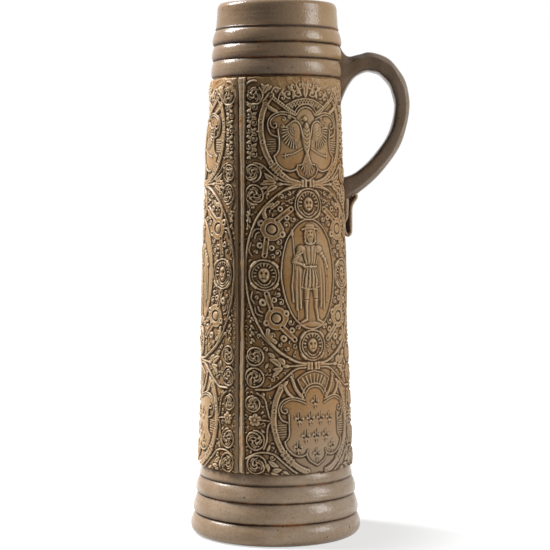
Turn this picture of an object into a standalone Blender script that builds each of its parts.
"""Tall stoneware tankard: a thrown body with turned rim and foot rings, three press-moulded relief
panels luted to its wall, a strap handle and the scroll tucked under the handle's lower end.

Metres, +Z up. The origin is the centre of the flat base and the handle points along +X.
"""

import math

import bmesh
import bpy
from mathutils import Matrix, Vector

MM = 0.001

# Turned body, from the rim down
HEIGHT = 325 * MM
LIP_RISE = 4 * MM
RIM_BAND_HEIGHT = 15.0 * MM
RIM_TOP_RADIUS = 36.7 * MM
RIM_LOW_RADIUS = 37.7 * MM
NECK_RINGS = 3
NECK_RING_HEIGHT = 9.6 * MM
NECK_UPPER_CREST = 39.5 * MM
NECK_LOWER_CREST = 40.5 * MM
NECK_GROOVE_DEPTH = 1.3 * MM
WALL_NECK_RADIUS = 38.4 * MM
WALL_FOOT_RADIUS = 45.2 * MM
UPPER_FOOT_RING_HEIGHT = 10.4 * MM
UPPER_FOOT_RING_CREST = 48.8 * MM
MIDDLE_FOOT_RING_HEIGHT = 12.4 * MM
MIDDLE_FOOT_RING_CREST = 50.4 * MM
LOWER_FOOT_RING_HEIGHT = 13.0 * MM
LOWER_FOOT_RING_CREST = 52.8 * MM
FOOT_GROOVE_DEPTH = 1.1 * MM
BASE_RADIUS = 49.4 * MM

# Inside of the body
WALL_THICKNESS = 5.2 * MM
LIP_THICKNESS = 4.4 * MM
FLOOR_THICKNESS = 10 * MM
FLOOR_FILLET = 9 * MM

# Clay laid on clay keeps this gap between the two solids
LUTING_GAP = 0.3 * MM

# Relief panels: strips pressed from one mould and laid side by side round the wall, each with a plain
# lip down one edge that the rear strip, trimmed to leave room for the handle, has lost
PANEL_THICKNESS = 1.7 * MM
PANEL_TOP_MARGIN = 1.2 * MM
PANEL_FOOT_MARGIN = 7.5 * MM
PANEL_HALF_WIDTH = 39.5 * MM
PANEL_TWIST = math.radians(7.5)
FRONT_PANEL_ANGLE = math.radians(-62.5)
LEFT_PANEL_TURN = math.radians(-114)
REAR_PANEL_TURN = math.radians(133)
RELIEF_HEIGHT = 1.1 * MM
RELIEF_SINK = 0.6 * MM
RELIEF_DRAFT = 0.45 * MM
TRIM_ALLOWANCE = 3 * MM
PANEL_LIP_WIDTH = 6.2 * MM
PANEL_LIP_ROLL = 4.4 * MM

# Motifs of the mould, in the size they have on the wall, laid out from the mould's middle
MOULD_DROP = 1.65 * MM
RIGHT_BORDER = 25 * MM
RIGHT_BORDER_SHARE = 0.8
STRAP_WIDTH = 2.2 * MM
VINE_WIDTH = 1.8 * MM
UPPER_FRAME_RISE = 88.3 * MM
UPPER_FRAME_HALF_WIDTH = 27.9 * MM
UPPER_FRAME_HALF_HEIGHT = 32.6 * MM
LOWER_FRAME_DROP = 84.7 * MM
LOWER_FRAME_HALF_WIDTH = 26.7 * MM
LOWER_FRAME_HALF_HEIGHT = 31.7 * MM
MIDDLE_RISE = 2.3 * MM
MIDDLE_FRAME_HALF_WIDTH = 41.6 * MM
MIDDLE_FRAME_HALF_HEIGHT = 55.1 * MM
OVAL_HALF_WIDTH = 19.3 * MM
OVAL_HALF_HEIGHT = 33.6 * MM
CLASP_HALF_WIDTH = 4.6 * MM
CLASP_HALF_HEIGHT = 2.4 * MM
SHIELD_HALF_WIDTH = 22.3 * MM
SHIELD_HALF_HEIGHT = 22.8 * MM
UPPER_SHIELD_RISE = 80 * MM
LOWER_SHIELD_DROP = 90 * MM
MASK_RADIUS = 9.8 * MM
MASK_SIDE_OFFSET = 28.9 * MM
MASK_END_OFFSET = 42.2 * MM
BOSS_OFFSET_ACROSS = 22.8 * MM
BOSS_OFFSET_ALONG = 26.5 * MM
BOSS_PLATE_RADIUS = 6.8 * MM
BOSS_RADIUS = 3.6 * MM
ROUNDEL_RADIUS = 6 * MM
FIGURE_HEIGHT = 58 * MM

# Handle strap, as its centre line runs from the neck out and back to the wall
HANDLE_ROOT_DROP = 45 * MM
HANDLE_RISE = 10.7 * MM
HANDLE_CROWN_REACH = 17.6 * MM
HANDLE_REACH = 38.8 * MM
HANDLE_SHOULDER_DROP = 27.4 * MM
HANDLE_SPAN = 65.5 * MM
HANDLE_WIDTH = 18 * MM
HANDLE_ROOT_WIDTH = 20.4 * MM
HANDLE_THICKNESS = 9.5 * MM
HANDLE_CROWN_THICKNESS = 12.4 * MM
HANDLE_ROOT_THICKNESS = 44 * MM
HANDLE_ROOT_SPREAD = 64 * MM
HANDLE_TAIL_THICKNESS = 10.4 * MM
HANDLE_CHANNEL = 0.7 * MM
HANDLE_BURIED = 3.6 * MM

# Scroll under the handle
SCROLL_LENGTH = 26.2 * MM
SCROLL_WIDTH = 13 * MM
SCROLL_THICKNESS = 2.4 * MM
SCROLL_STAND_OFF = 4.5 * MM
SCROLL_BACK_SHARE = 0.9
SCROLL_CURL_RADIUS = 1.9 * MM
SCROLL_EDGE = 0.5 * MM

# Facets
TURN_STEPS = 36
BEAD_STEPS = 5
FILLET_STEPS = 3
PANEL_COLUMNS = 12
PANEL_ROWS = 2
HANDLE_RINGS_PER_SPAN = 8
HANDLE_SECTION_POINTS = 12

# Heights worked out from the sizes above, and the share of a half-round that its facets reach
BEAD_PEAK = math.sin(math.pi * (BEAD_STEPS // 2) / BEAD_STEPS)
NECK_TOP_Z = HEIGHT - RIM_BAND_HEIGHT
NECK_LOW_Z = NECK_TOP_Z - NECK_RINGS * NECK_RING_HEIGHT
FOOT_LOW_GROOVE_Z = LOWER_FOOT_RING_HEIGHT
FOOT_HIGH_GROOVE_Z = FOOT_LOW_GROOVE_Z + MIDDLE_FOOT_RING_HEIGHT
FOOT_TOP_Z = FOOT_HIGH_GROOVE_Z + UPPER_FOOT_RING_HEIGHT
PANEL_TOP_Z = NECK_LOW_Z - PANEL_TOP_MARGIN
PANEL_FOOT_Z = FOOT_TOP_Z + PANEL_FOOT_MARGIN
PANEL_MIDDLE_Z = (PANEL_TOP_Z + PANEL_FOOT_Z) / 2
PANEL_HALF_LENGTH = (PANEL_TOP_Z - PANEL_FOOT_Z) / 2


def mix(low, high, share):
    return low + (high - low) * share


def wall_radius(z):
    """Outer radius of the thrown wall that the panels are laid on."""
    return mix(WALL_FOOT_RADIUS, WALL_NECK_RADIUS, (z - FOOT_TOP_Z) / (NECK_LOW_Z - FOOT_TOP_Z))


def relief_radius(z):
    """Radius that the highest relief of a panel reaches."""
    return wall_radius(z) + LUTING_GAP + PANEL_THICKNESS + RELIEF_HEIGHT


PANEL_RADIUS = relief_radius(PANEL_MIDDLE_Z)


def new_object(name, mesh):
    item = bpy.data.objects.new(name, mesh)
    bpy.context.scene.collection.objects.link(item)
    return item


def mesh_from(form, name):
    mesh = bpy.data.meshes.new(name)
    form.to_mesh(mesh)
    form.free()
    return mesh


def stoneware(name, colour, roughness):
    """Salt-glazed clay as a Principled surface."""
    material = bpy.data.materials.new(name)
    material.use_nodes = True
    surface = material.node_tree.nodes["Principled BSDF"]
    surface.inputs["Base Color"].default_value = (*colour, 1)
    surface.inputs["Roughness"].default_value = roughness
    surface.inputs["Metallic"].default_value = 0
    return material


def smooth(item, material, angle=40):
    item.data.materials.clear()
    item.data.materials.append(material)
    item.data.shade_smooth()
    item.data.set_sharp_from_angle(angle=math.radians(angle))


def evaluated_mesh(item, name):
    """The mesh that an item has once its modifiers are worked out."""
    bpy.context.view_layer.update()
    graph = bpy.context.evaluated_depsgraph_get()
    mesh = bpy.data.meshes.new_from_object(item.evaluated_get(graph))
    mesh.name = name
    return mesh


# Thrown body


def bead(top, low, crest):
    """Half-round moulding between two grooves, as points after the upper groove."""
    bulge = (crest - (top[0] + low[0]) / 2) / BEAD_PEAK
    points = []
    for step in range(1, BEAD_STEPS + 1):
        turn = math.pi * step / BEAD_STEPS
        share = (1 - math.cos(turn)) / 2
        radius = mix(top[0], low[0], share) + bulge * math.sin(turn)
        points.append((radius, mix(top[1], low[1], share)))
    return points


def neck_profile(grow=0):
    """Rings under the rim band, grown outwards where something has to clear them."""
    depth = NECK_GROOVE_DEPTH - grow
    points = [(NECK_UPPER_CREST - depth + grow, NECK_TOP_Z)]
    for ring in range(NECK_RINGS):
        crest = mix(NECK_UPPER_CREST, NECK_LOWER_CREST, ring / max(1, NECK_RINGS - 1)) + grow
        low_z = NECK_TOP_Z - (ring + 1) * NECK_RING_HEIGHT
        last = ring == NECK_RINGS - 1
        low_radius = WALL_NECK_RADIUS + grow if last else crest - depth
        points += bead(points[-1], (low_radius, low_z), crest)
    return points


def foot_profile():
    """Three stepped rings down to the flat base."""
    top = (WALL_FOOT_RADIUS, FOOT_TOP_Z)
    high = (UPPER_FOOT_RING_CREST - FOOT_GROOVE_DEPTH, FOOT_HIGH_GROOVE_Z)
    low = (MIDDLE_FOOT_RING_CREST - FOOT_GROOVE_DEPTH, FOOT_LOW_GROOVE_Z)
    points = [top]
    points += bead(top, high, UPPER_FOOT_RING_CREST)
    points += bead(high, low, MIDDLE_FOOT_RING_CREST)
    points += bead(low, (BASE_RADIUS, 0), LOWER_FOOT_RING_CREST)
    return points


def lip_profile():
    """Rounded lip from the inside over to the outside."""
    inner = RIM_TOP_RADIUS - LIP_THICKNESS
    middle = (inner + RIM_TOP_RADIUS) / 2
    points = []
    for step in range(BEAD_STEPS + 1):
        turn = math.pi * step / BEAD_STEPS
        radius = middle - LIP_THICKNESS / 2 * math.cos(turn)
        points.append((radius, HEIGHT - LIP_RISE * (1 - math.sin(turn) / BEAD_PEAK)))
    return points


def inside_profile():
    """Floor, its rounded corner and the inner wall up to the neck."""
    floor_radius = WALL_FOOT_RADIUS - WALL_THICKNESS
    corner = floor_radius - FLOOR_FILLET
    points = [(0, FLOOR_THICKNESS)]
    for step in range(FILLET_STEPS + 1):
        turn = math.pi / 2 * step / FILLET_STEPS
        radius = corner + FLOOR_FILLET * math.sin(turn)
        points.append((radius, FLOOR_THICKNESS + FLOOR_FILLET * (1 - math.cos(turn))))
    points.append((WALL_NECK_RADIUS - WALL_THICKNESS, NECK_LOW_Z))
    return points


def revolve(profile, name):
    """Closed solid turned from a profile that starts and ends on the axis."""
    form = bmesh.new()
    points = [form.verts.new((radius, 0, z)) for radius, z in profile]
    edges = [form.edges.new(pair) for pair in zip(points, points[1:])]
    bmesh.ops.spin(
        form,
        geom=points + edges,
        axis=(0, 0, 1),
        cent=(0, 0, 0),
        angle=math.tau,
        steps=TURN_STEPS,
        use_merge=True,
        use_duplicate=False,
    )
    bmesh.ops.remove_doubles(form, verts=form.verts, dist=0.001 * MM)
    bmesh.ops.recalc_face_normals(form, faces=form.faces)
    return mesh_from(form, name)


def make_body(material):
    profile = inside_profile() + lip_profile()
    profile.append((RIM_LOW_RADIUS, NECK_TOP_Z + LIP_RISE / 4))
    profile += neck_profile() + foot_profile() + [(0, 0)]
    body = new_object("thrown_body", revolve(profile, "thrown_body"))
    smooth(body, material)
    return body


# Relief panels, drawn flat: x across the strip, y along it, z up from its ground


def arc(centre, half_width, half_height, start, end, count):
    """Points on a stretch of an ellipse, with angles in degrees."""
    points = []
    for step in range(count + 1):
        turn = math.radians(mix(start, end, step / count))
        points.append(Vector((half_width * math.cos(turn), half_height * math.sin(turn))) + Vector(centre))
    return points


def ellipse(centre, half_width, half_height, count):
    return arc(centre, half_width, half_height, 0, 360, count)[:-1]


def millimetres(*places):
    return [Vector(place) * MM for place in places]


def mirrored(line):
    return [Vector((-point.x, point.y)) for point in line]


def inset(outline, distance):
    """An outline drawn in along its corner normals, counter-clockwise loops inwards."""
    moved = []
    for index, here in enumerate(outline):
        before = (here - outline[index - 1]).normalized()
        after = (outline[(index + 1) % len(outline)] - here).normalized()
        normal = Vector((-before.y - after.y, before.x + after.x)).normalized()
        moved.append(here + normal * distance)
    return moved


def skin(form, rims, closed_ends=True):
    """Faces between a stack of point loops; loops without closed ends join up into a ring."""
    pairs = list(zip(rims, rims[1:]))
    if closed_ends:
        form.faces.new(rims[0])
        form.faces.new(rims[-1])
    else:
        pairs.append((rims[-1], rims[0]))
    for lower, upper in pairs:
        for index in range(len(lower)):
            form.faces.new((lower[index - 1], lower[index], upper[index], upper[index - 1]))
    bmesh.ops.recalc_face_normals(form, faces=form.faces)


def raised(loops, name, closed_top=True):
    """Solid skinned through a stack of (outline, height) loops; an open top makes a ring."""
    form = bmesh.new()
    rims = [[form.verts.new((point.x, point.y, height)) for point in outline] for outline, height in loops]
    skin(form, rims, closed_top)
    return new_object(name, mesh_from(form, name))


def plate(outline, name, share):
    """Flat-topped motif with moulded draft on its sides, standing a share of the full relief."""
    top = inset(outline, RELIEF_DRAFT)
    return raised([(outline, -RELIEF_SINK * share), (top, RELIEF_HEIGHT * share)], name)


def band(outline, width, name, share):
    """Raised strap that follows a closed outline inwards from its outer edge."""
    loops = [
        (outline, -RELIEF_SINK * share),
        (inset(outline, width / 2), RELIEF_HEIGHT * share),
        (inset(outline, width), -RELIEF_SINK * share),
    ]
    return raised(loops, name, closed_top=False)


def cord(line, width, name, share):
    """Raised strap of pointed section along an open line."""
    form = bmesh.new()
    rims = []
    for index, here in enumerate(line):
        along = (line[min(index + 1, len(line) - 1)] - line[max(index - 1, 0)]).normalized()
        aside = Vector((-along.y, along.x)) * width / 2
        section = ((here + aside, -RELIEF_SINK), (here, RELIEF_HEIGHT), (here - aside, -RELIEF_SINK))
        rims.append([form.verts.new((place.x, place.y, height * share)) for place, height in section])
    skin(form, rims)
    return new_object(name, mesh_from(form, name))


def cords(lines, width, name, share):
    """The same cord on both sides of the strip, for some lines of its right side."""
    return [cord(way, width, name, share) for line in lines for way in (line, mirrored(line))]


def dome(centre, radius, name, share, count=6, tall=1):
    """Low round boss with a wide flat crown."""
    loops = [
        (ellipse(centre, radius, radius * tall, count), -RELIEF_SINK * share),
        (ellipse(centre, radius * 0.66, radius * tall * 0.66, count), RELIEF_HEIGHT * share),
    ]
    return raised(loops, name)


def bar(start, end, start_width, end_width, name, share):
    """Tapered bar between two points, for straps, rods and limbs."""
    start, end = Vector(start), Vector(end)
    along = (end - start).normalized()
    across = Vector((-along.y, along.x))
    outline = [
        start - across * start_width / 2,
        end - across * end_width / 2,
        end + across * end_width / 2,
        start + across * start_width / 2,
    ]
    return plate(outline, name, share)


def shield_outline(middle_y):
    """Scroll-edged shield: a lobed foot, a waist, rolled shoulders and an arched head."""
    right = [(0.29, -0.72), (0.7, -0.68), (0.94, -0.32), (0.8, 0.0), (1.0, 0.5), (0.72, 0.8), (0.34, 0.77)]
    right = [Vector((x * SHIELD_HALF_WIDTH, y * SHIELD_HALF_HEIGHT)) for x, y in right]
    ends = Vector((0, -SHIELD_HALF_HEIGHT)), Vector((0, SHIELD_HALF_HEIGHT))
    outline = [ends[0]] + right + [ends[1]] + mirrored(right)[::-1]
    return [point + Vector((0, middle_y)) for point in outline]


def figure_motifs():
    """Standing figure with a staff in the middle oval, from the feet up."""
    unit = FIGURE_HEIGHT / 58
    limbs = [
        ((-3.4, -26), (-2.6, -5), 2.8, 4.0, 0.72),
        ((4.6, -26), (3.0, -5), 2.8, 4.0, 0.7),
        ((0.2, -7.4), (0.2, 7.0), 11.8, 8.8, 0.84),
        ((0.2, 6.0), (0.2, 20.0), 7.6, 11.4, 0.88),
        ((-5.4, 18.2), (-10.8, 10.0), 3.2, 2.6, 0.78),
        ((5.8, 18.0), (11.2, 9.6), 3.2, 2.6, 0.8),
        ((-7.4, -25.0), (-9.6, 29.0), 1.5, 1.5, 0.6),
    ]
    motifs = []
    for start, end, start_width, end_width, share in limbs:
        ends = Vector(start) * unit, Vector(end) * unit
        widths = start_width * unit, end_width * unit
        motifs.append(bar(*ends, *widths, "limb", share))
    motifs.append(dome(Vector((0.3, 25.8)) * unit, 4 * unit, "head", 0.94))
    return motifs


def frame_motifs():
    """Straps that divide the strip into an upper, a middle and a lower field, and the clasps between."""
    middle = Vector((0, MIDDLE_RISE))
    motifs = [
        band(ellipse(middle, MIDDLE_FRAME_HALF_WIDTH, MIDDLE_FRAME_HALF_HEIGHT, 22), STRAP_WIDTH,
             "middle_frame", 1.0),
        band(ellipse(middle, OVAL_HALF_WIDTH, OVAL_HALF_HEIGHT, 14), VINE_WIDTH, "oval", 0.86),
    ]
    upper = arc((0, UPPER_FRAME_RISE), UPPER_FRAME_HALF_WIDTH, UPPER_FRAME_HALF_HEIGHT, 30, -78, 6)
    lower = arc((0, -LOWER_FRAME_DROP), LOWER_FRAME_HALF_WIDTH, LOWER_FRAME_HALF_HEIGHT, 38, -75, 6)
    motifs += cords([upper, lower], STRAP_WIDTH * 1.4, "end_frame", 0.98)
    for side in (1, -1):
        joint = side * (MIDDLE_FRAME_HALF_HEIGHT - STRAP_WIDTH / 2) + MIDDLE_RISE
        motifs.append(bar((0, joint - CLASP_HALF_HEIGHT), (0, joint + CLASP_HALF_HEIGHT),
                          CLASP_HALF_WIDTH * 2, CLASP_HALF_WIDTH * 2, "clasp", 0.9))
    return motifs


def shield_motifs():
    """Ridged shields, the crown and its straps over the upper one and the shell over the lower one."""
    motifs = [band(shield_outline(middle), VINE_WIDTH, "shield", 0.94)
              for middle in (UPPER_SHIELD_RISE, -LOWER_SHIELD_DROP)]
    crown_arch = arc(Vector((0, 100.2)) * MM, 17.7 * MM, 17.7 * MM, 12, 168, 6)
    crown_band = arc(Vector((0, 88)) * MM, 20 * MM, 19.2 * MM, 48, 132, 4)
    motifs.append(cord(crown_arch, VINE_WIDTH, "crown_arch", 0.82))
    motifs.append(cord(crown_band, VINE_WIDTH, "crown_band", 0.8))
    for side in (1, -1):
        motifs.append(dome(Vector((side * 8.6, 110.6)) * MM, 3.6 * MM, "crown_scroll", 0.86))
        strap = millimetres((side * 20.8, 108.2), (side * 9.5, 99.8))
        motifs.append(bar(*strap, STRAP_WIDTH * 1.15, STRAP_WIDTH * 1.15, "crown_strap", 0.88))
    shell = millimetres((7, -66.4), (11, -60.2), (6.4, -57))
    shell += millimetres((0, -55.4)) + mirrored(shell)[::-1]
    motifs.append(plate(shell, "shell", 0.6))
    return motifs


def medallion_motifs():
    """Masks and bossed plates linked by straps round the middle oval."""
    motifs = []
    middle = Vector((0, MIDDLE_RISE))
    for side in (1, -1):
        for mask in (Vector((side * MASK_SIDE_OFFSET, 0)), Vector((0, side * MASK_END_OFFSET))):
            ring = ellipse(mask + middle, MASK_RADIUS, MASK_RADIUS, 8)
            motifs.append(band(ring, STRAP_WIDTH * 1.2, "mask_ring", 0.92))
            motifs.append(dome(mask + middle, MASK_RADIUS * 0.42, "mask", 0.96, tall=1.3))
        for end in (1, -1):
            turn = Vector((side, end))
            boss = Vector((BOSS_OFFSET_ACROSS, BOSS_OFFSET_ALONG)) * turn + middle
            motifs.append(plate(ellipse(boss, BOSS_PLATE_RADIUS, BOSS_PLATE_RADIUS, 6), "boss_plate", 0.7))
            motifs.append(dome(boss, BOSS_RADIUS, "boss", 0.97))
            for start, finish in (((-3, 5.4), (-11.6, 12.4)), ((3.2, -5.6), (5.4, -15.6))):
                ends = [boss + Vector(place) * MM * turn for place in (start, finish)]
                motifs.append(bar(*ends, STRAP_WIDTH * 1.4, STRAP_WIDTH * 1.4, "strap", 0.74))
    return motifs


def vine_motifs():
    """Vine roundels down both borders and the stems that join them to the frames."""
    places = (
        (31.6, 109.4, 1.25), (33.8, 62.6, 0.9), (33.3, 49.8, 1.0), (36.5, -46.6, 0.95), (37.2, -59.4, 1.0),
        (39.0, -74.8, 0.8), (38.4, -96.5, 1.0), (38.4, -110.6, 1.0),
    )
    motifs = []
    for across, along, share in places:
        for side in (1, -1):
            centre = Vector((side * across, along)) * MM
            motifs.append(dome(centre, ROUNDEL_RADIUS * share, "roundel", 0.78, count=5))
    stems = (
        millimetres((33, 68.8), (27, 66.8), (19, 60), (6.4, 56.8)),
        millimetres((5.4, -53.4), (14, -55.4), (26.4, -65), (36.8, -66.6)),
        millimetres((35, -69), (30.6, -74), (27.4, -84.9), (32, -99.5)),
        millimetres((42.6, -106), (34, -103), (27.4, -105.2), (13.6, -115.6)),
    )
    return motifs + cords(stems, VINE_WIDTH, "stem", 0.84)


def fit_to_wall(motif):
    """Lays a motif out on the strip, whose sides close in with the taper and whose right border is narrow."""
    for point in motif.data.vertices:
        across, along = point.co.x, point.co.y - MOULD_DROP
        if across > RIGHT_BORDER:
            across = mix(RIGHT_BORDER, across, RIGHT_BORDER_SHARE)
        point.co.x = across * PANEL_RADIUS / relief_radius(PANEL_MIDDLE_Z + along)
        point.co.y = along


def lip_motif():
    """Plain raised roll down the lip of the strip."""
    width = PANEL_LIP_ROLL + TRIM_ALLOWANCE / 2
    across = width / 2 - PANEL_HALF_WIDTH - PANEL_LIP_WIDTH - TRIM_ALLOWANCE / 2
    reach = PANEL_HALF_LENGTH + TRIM_ALLOWANCE / 2
    return bar((across, -reach), (across, reach), width, width, "lip", 0.64)


def strip_edges(lipped):
    """Where a strip starts and ends, across."""
    return -PANEL_HALF_WIDTH - (PANEL_LIP_WIDTH if lipped else 0), PANEL_HALF_WIDTH


def flat_block(name, lipped, low, high, allowance=0):
    """Block of the strip's own outline and an allowance round it, from one height to another."""
    left, right = strip_edges(lipped)
    left, right, length = left - allowance, right + allowance, PANEL_HALF_LENGTH + allowance
    corners = [(left, -length), (right, -length), (right, length), (left, length)]
    outline = [Vector(corner) for corner in corners]
    return raised([(outline, low), (outline, high)], name)


def combine(item, operation, other, collection=None):
    """Adds a Boolean to an item and hides what it works with."""
    change = item.modifiers.new(operation.lower(), "BOOLEAN")
    change.operation = operation
    change.solver = "EXACT"
    if collection:
        change.operand_type = "COLLECTION"
        change.collection = collection
    else:
        change.object = other
    for helper in (collection.objects if collection else [other]):
        helper.hide_render = True
        helper.display_type = "WIRE"


def pressed_strip(lipped):
    """One strip as it leaves the mould, flat, with its motifs joined to its ground and its edges cut."""
    motifs = frame_motifs() + shield_motifs() + medallion_motifs()
    motifs += vine_motifs() + figure_motifs()
    for motif in motifs:
        fit_to_wall(motif)
    if lipped:
        motifs.append(lip_motif())
    group = bpy.data.collections.new("motifs")
    bpy.context.scene.collection.children.link(group)
    for motif in motifs:
        bpy.context.scene.collection.objects.unlink(motif)
        group.objects.link(motif)
    strip = flat_block("strip", lipped, -PANEL_THICKNESS, 0, TRIM_ALLOWANCE)
    cut = flat_block("strip_edges", lipped, -2 * PANEL_THICKNESS, 2 * RELIEF_HEIGHT)
    combine(strip, "UNION", None, group)
    combine(strip, "INTERSECT", cut)
    mesh = evaluated_mesh(strip, "relief_panel")
    for helper in motifs + [strip, cut]:
        bpy.data.objects.remove(helper)
    bpy.data.collections.remove(group)
    return mesh


def face_width(face):
    across = [point.co.x for point in face.verts]
    return max(across) - min(across)


def slice_faces(form, faces, place, direction):
    """Cuts some faces along a plane."""
    edges = {edge for face in faces for edge in face.edges}
    points = {point for face in faces for point in face.verts}
    bmesh.ops.bisect_plane(form, geom=faces + list(edges) + list(points), dist=0.01 * MM,
                           plane_co=place, plane_no=direction)


def bend_round_wall(mesh, lipped):
    """Slices what is wide in the flat strip into narrow columns and bends it round the tapering wall."""
    form = bmesh.new()
    form.from_mesh(mesh)
    left, right = strip_edges(lipped)
    column_width = (right - left) / PANEL_COLUMNS
    for column in range(1, PANEL_COLUMNS):
        wide = [face for face in form.faces if face_width(face) > column_width]
        slice_faces(form, wide, (left + column * column_width, 0, 0), (1, 0, 0))
    for row in range(1, PANEL_ROWS):
        along = PANEL_HALF_LENGTH * (2 * row / PANEL_ROWS - 1)
        back = [face for face in form.faces if face.normal.z < -0.9]
        slice_faces(form, back, (0, along, 0), (0, 1, 0))
    bmesh.ops.triangulate(form, faces=form.faces)
    for point in form.verts:
        across, along, up = point.co
        z = PANEL_MIDDLE_Z + along
        angle = across / PANEL_RADIUS - PANEL_TWIST * along / (2 * PANEL_HALF_LENGTH)
        radius = wall_radius(z) + LUTING_GAP + PANEL_THICKNESS + up
        point.co = (radius * math.cos(angle), radius * math.sin(angle), z)
    bmesh.ops.recalc_face_normals(form, faces=form.faces)
    form.to_mesh(mesh)
    form.free()


def make_panels(material):
    meshes = {}
    for lipped in (True, False):
        meshes[lipped] = pressed_strip(lipped)
        bend_round_wall(meshes[lipped], lipped)
    places = (("front", True, 0), ("left", True, LEFT_PANEL_TURN), ("rear", False, REAR_PANEL_TURN))
    panels = []
    for place, lipped, turn in places:
        panel = new_object(f"relief_panel_{place}", meshes[lipped])
        panel.rotation_euler.z = FRONT_PANEL_ANGLE + turn
        smooth(panel, material, 30)
        panels.append(panel)
    return panels


# Handle


def bezier(ends, pulls, share):
    """Point on a curve between two ends, each with its pull point."""
    rest = 1 - share
    return (ends[0] * rest**3 + pulls[0] * 3 * rest**2 * share
            + pulls[1] * 3 * rest * share**2 + ends[1] * share**3)


def handle_spans():
    """The strap's centre line in the XZ plane: root to crown, over the shoulder, and back to the wall."""
    root_z = HEIGHT - HANDLE_ROOT_DROP
    low_z = root_z - HANDLE_SPAN
    wall = wall_radius(root_z)
    root = Vector((wall - HANDLE_BURIED, root_z))
    crown = Vector((wall + HANDLE_CROWN_REACH, root_z + HANDLE_RISE))
    shoulder = Vector((wall + HANDLE_REACH, crown.y - HANDLE_SHOULDER_DROP))
    low = Vector((wall_radius(low_z) - HANDLE_BURIED, low_z))
    reach, drop = shoulder.x - crown.x, crown.y - shoulder.y
    round_pull = 0.5523
    fall = shoulder.y - low.y
    return [
        ((root, crown), (root + Vector((HANDLE_CROWN_REACH * 0.28, 0)),
                         crown - Vector((HANDLE_CROWN_REACH * 0.43, 0)))),
        ((crown, shoulder), (crown + Vector((reach * round_pull, 0)),
                             shoulder + Vector((0, drop * round_pull)))),
        ((shoulder, low), (shoulder - Vector((0, fall * 0.45)),
                           low + Vector(((shoulder.x - low.x) * 0.59, fall * 0.164)))),
    ]


def handle_thickness(span, share):
    """Strap thickness along the centre line, spreading to a tall pad on the neck and the wall."""
    if span == 0:
        spread = HANDLE_CROWN_THICKNESS + HANDLE_ROOT_SPREAD * (1 - share) ** 3.6
        return min(HANDLE_ROOT_THICKNESS, spread)
    if span == 1:
        return mix(HANDLE_CROWN_THICKNESS, HANDLE_THICKNESS, share)
    return mix(HANDLE_THICKNESS, HANDLE_TAIL_THICKNESS, max(0, share - 0.7) / 0.3)


def handle_width(span, share):
    return mix(HANDLE_WIDTH, HANDLE_ROOT_WIDTH, (1 - share) ** 2) if span == 0 else HANDLE_WIDTH


def strap_section(thickness, width):
    """Rounded strap section as (outward, sideways) points, with a shallow channel down its back."""
    points = []
    squareness = 2 / 2.9
    for step in range(HANDLE_SECTION_POINTS):
        turn = math.tau * (step + 0.5) / HANDLE_SECTION_POINTS
        outward = math.copysign(abs(math.cos(turn)) ** squareness, math.cos(turn)) * thickness / 2
        sideways = math.copysign(abs(math.sin(turn)) ** squareness, math.sin(turn)) * width / 2
        if outward > 0:
            outward -= HANDLE_CHANNEL * max(0, 1 - (sideways / (width * 0.36)) ** 2)
        points.append((outward, sideways))
    return points


def section_outward(ends, pulls, share):
    """Direction in which the strap's back faces at a point of its centre line."""
    nudge = 0.01
    along = bezier(ends, pulls, share + nudge) - bezier(ends, pulls, share - nudge)
    return Vector((-along.y, along.x)).normalized()


def loft_handle():
    """Strap skinned through its sections, which stand upright from the root to the crown."""
    form = bmesh.new()
    rims = []
    spans = handle_spans()
    for index, (ends, pulls) in enumerate(spans):
        last = index == len(spans) - 1
        for step in range(HANDLE_RINGS_PER_SPAN + last):
            share = step / HANDLE_RINGS_PER_SPAN
            here = bezier(ends, pulls, share)
            out = section_outward(ends, pulls, share) if index else Vector((0, 1))
            rims.append([])
            section = strap_section(handle_thickness(index, share), handle_width(index, share))
            for outward, sideways in section:
                place = here + out * outward
                rims[-1].append(form.verts.new((place.x, sideways, place.y)))
    skin(form, rims)
    return mesh_from(form, "handle")


def seat_cutter():
    """Solid a luting gap larger than the neck and the wall, which the roots of the handle are cut to."""
    profile = [(0, HEIGHT), (RIM_LOW_RADIUS + LUTING_GAP, HEIGHT)]
    profile += neck_profile(LUTING_GAP)[:-1]
    profile += [(wall_radius(z) + LUTING_GAP, z) for z in (NECK_LOW_Z, PANEL_FOOT_Z)]
    profile.append((0, PANEL_FOOT_Z))
    return new_object("handle_seat", revolve(profile, "handle_seat"))


def make_handle(material):
    handle = new_object("handle", loft_handle())
    smooth(handle, material)
    combine(handle, "DIFFERENCE", seat_cutter())
    return handle


# Scroll under the handle


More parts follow.
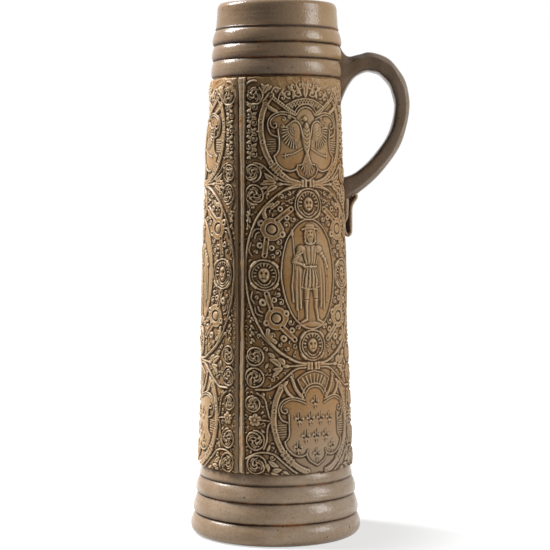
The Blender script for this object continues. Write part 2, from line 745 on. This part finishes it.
def scroll_centre_line():
    """Centre line as (out from the wall, up) points: down the wall, round, up again and into a volute."""
    half = SCROLL_THICKNESS / 2
    hook = (SCROLL_STAND_OFF - half) / 2
    points = [Vector((half, SCROLL_LENGTH * SCROLL_BACK_SHARE))]
    points += arc((SCROLL_STAND_OFF - hook, hook + half), hook, hook, 180, 360, 7)
    curl = SCROLL_CURL_RADIUS
    volute = (SCROLL_STAND_OFF + curl, SCROLL_LENGTH - curl - half)
    points.append(Vector((SCROLL_STAND_OFF, volute[1] - 2 * curl)))
    points += arc(volute, curl, curl, 180, -80, 10)
    return points


def ribbon_outline(centre_line):
    """Closed outline of a ribbon of even thickness about its centre line."""
    sides = ([], [])
    for index, here in enumerate(centre_line):
        before = centre_line[max(0, index - 1)]
        after = centre_line[min(len(centre_line) - 1, index + 1)]
        along = (after - before).normalized()
        across = Vector((-along.y, along.x)) * SCROLL_THICKNESS / 2
        sides[0].append(here + across)
        sides[1].append(here - across)
    return sides[0] + sides[1][::-1]


def make_scroll(material):
    low_z = HEIGHT - HANDLE_ROOT_DROP - HANDLE_SPAN - HANDLE_TAIL_THICKNESS / 2 - SCROLL_LENGTH
    wall = wall_radius(low_z) + LUTING_GAP
    form = bmesh.new()
    outline = ribbon_outline(scroll_centre_line())
    points = [form.verts.new((wall + p.x, -SCROLL_WIDTH / 2, low_z + p.y)) for p in outline]
    side = form.faces.new(points)
    grown = bmesh.ops.extrude_face_region(form, geom=[side])["geom"]
    moved = [item for item in grown if isinstance(item, bmesh.types.BMVert)]
    bmesh.ops.translate(form, verts=moved, vec=(0, SCROLL_WIDTH, 0))
    bmesh.ops.recalc_face_normals(form, faces=form.faces)
    scroll = new_object("handle_scroll", mesh_from(form, "handle_scroll"))
    edge = scroll.modifiers.new("softened_edges", "BEVEL")
    edge.width = SCROLL_EDGE
    edge.segments = 1
    edge.limit_method = "ANGLE"
    edge.angle_limit = math.radians(60)
    smooth(scroll, material)
    return scroll


def main():
    for item in list(bpy.data.objects):
        bpy.data.objects.remove(item)
    grey_glaze = stoneware("grey_brown_glaze", (0.25, 0.19, 0.14), 0.32)
    tan_relief = stoneware("tan_relief_clay", (0.29, 0.2, 0.12), 0.48)
    make_body(grey_glaze)
    make_panels(tan_relief)
    make_handle(grey_glaze)
    make_scroll(grey_glaze)


main()
